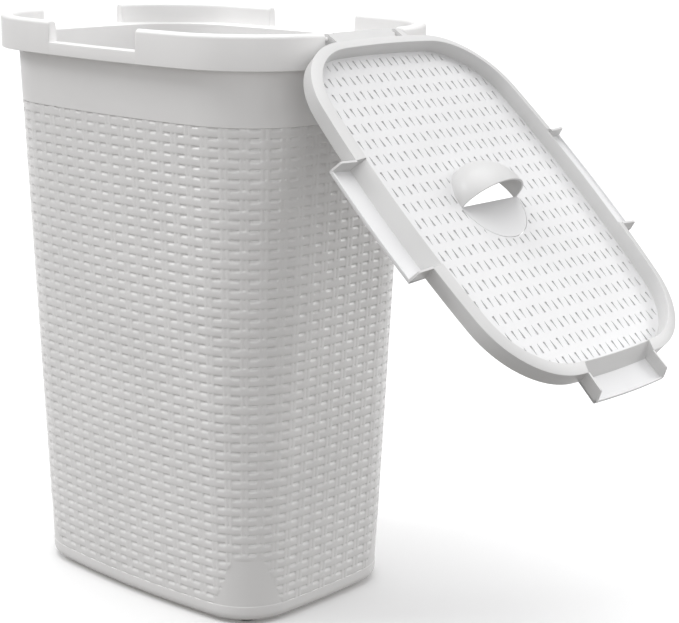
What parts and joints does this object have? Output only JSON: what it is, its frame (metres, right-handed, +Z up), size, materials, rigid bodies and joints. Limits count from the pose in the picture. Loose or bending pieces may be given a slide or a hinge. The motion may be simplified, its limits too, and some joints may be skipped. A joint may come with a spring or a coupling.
{
  "type": "laundry hamper with lid",
  "caption": "Slim tapered laundry hamper with a woven-look wall, a collared rim and a hinged lid with slots and a finger scoop, shown open.",
  "frame": {"origin": "on the floor under the middle of the tub", "axes": "+Z up; +X towards the hinge and the open lid; the long front side faces -Y"},
  "size_m": [0.7667, 0.3524, 0.617],
  "materials": {
    "white_plastic": "satin",
    "foot_rubber": "matte"
  },
  "bodies": {
    "tub": {"basket_wall": "white_plastic", "base_tray": "white_plastic", "rim_frame": "white_plastic", "hinge_pins": "white_plastic", "feet": "foot_rubber"},
    "lid": {"lid_bead": "white_plastic", "lid_tabs": "white_plastic", "hinge_tab": "white_plastic", "lid_panel": "white_plastic", "finger_scoop": "white_plastic", "hinge_clips": "white_plastic"}
  },
  "joints": [
    {"name": "lid_hinge", "type": "hinge", "parent": "tub", "child": "lid", "pos_m": [0.2156, 0, 0.6109], "axis": [0, -1, 0], "range_deg": [0, 222.6]}
  ]
}
